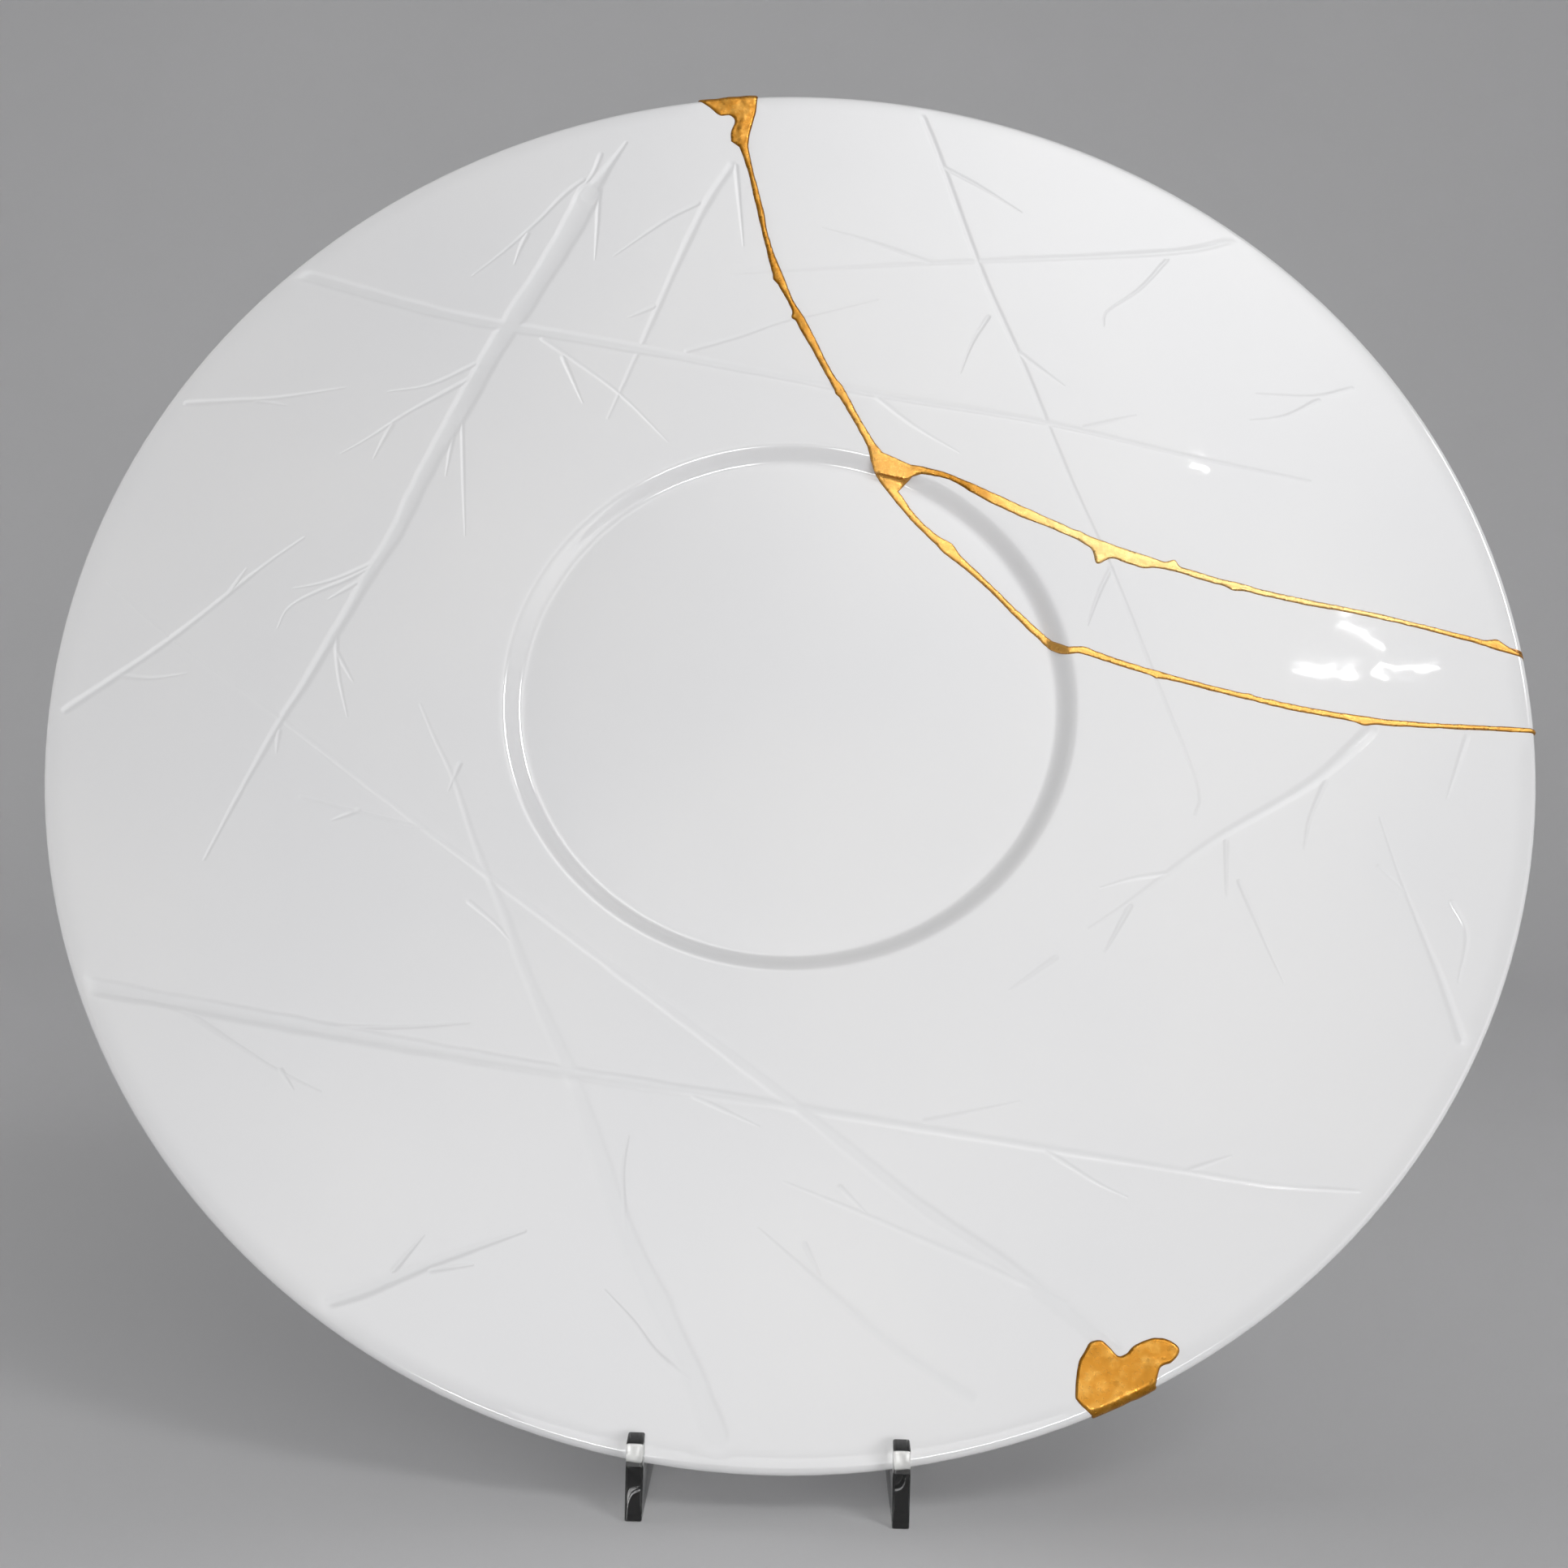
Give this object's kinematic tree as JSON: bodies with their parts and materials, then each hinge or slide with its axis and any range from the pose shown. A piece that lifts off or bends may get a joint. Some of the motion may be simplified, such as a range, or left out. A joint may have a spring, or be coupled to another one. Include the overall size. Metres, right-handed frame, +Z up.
{
  "type": "gold-repaired porcelain plate on an easel stand",
  "caption": "Wide white porcelain display plate with a small stepped well and faint engraved twigs, broken and rejoined with gold seams, leaning back in a clear easel stand.",
  "frame": {"origin": "middle of the object's footprint, on the surface that the stand's feet rest on", "axes": "+Z up, +X to the right of a person who faces the plate, +Y away from that person, so the plate faces -Y and leans back towards +Y"},
  "size_m": [0.3202, 0.1226, 0.3061],
  "materials": {
    "porcelain": "glossy clear glaze over white porcelain",
    "gold": "hand-laid gold, softly brushed and slightly grainy",
    "acrylic": "clear, polished"
  },
  "bodies": {
    "root": {"plate_main_shard": "porcelain", "plate_upper_shard": "porcelain", "plate_sliver_shard": "porcelain", "gold_seams": "gold", "gold_chip_fill": "gold", "stand_left_side": "acrylic", "stand_right_side": "acrylic", "stand_foot_bar": "acrylic", "stand_back_bar": "acrylic"}
  },
  "joints": []
}
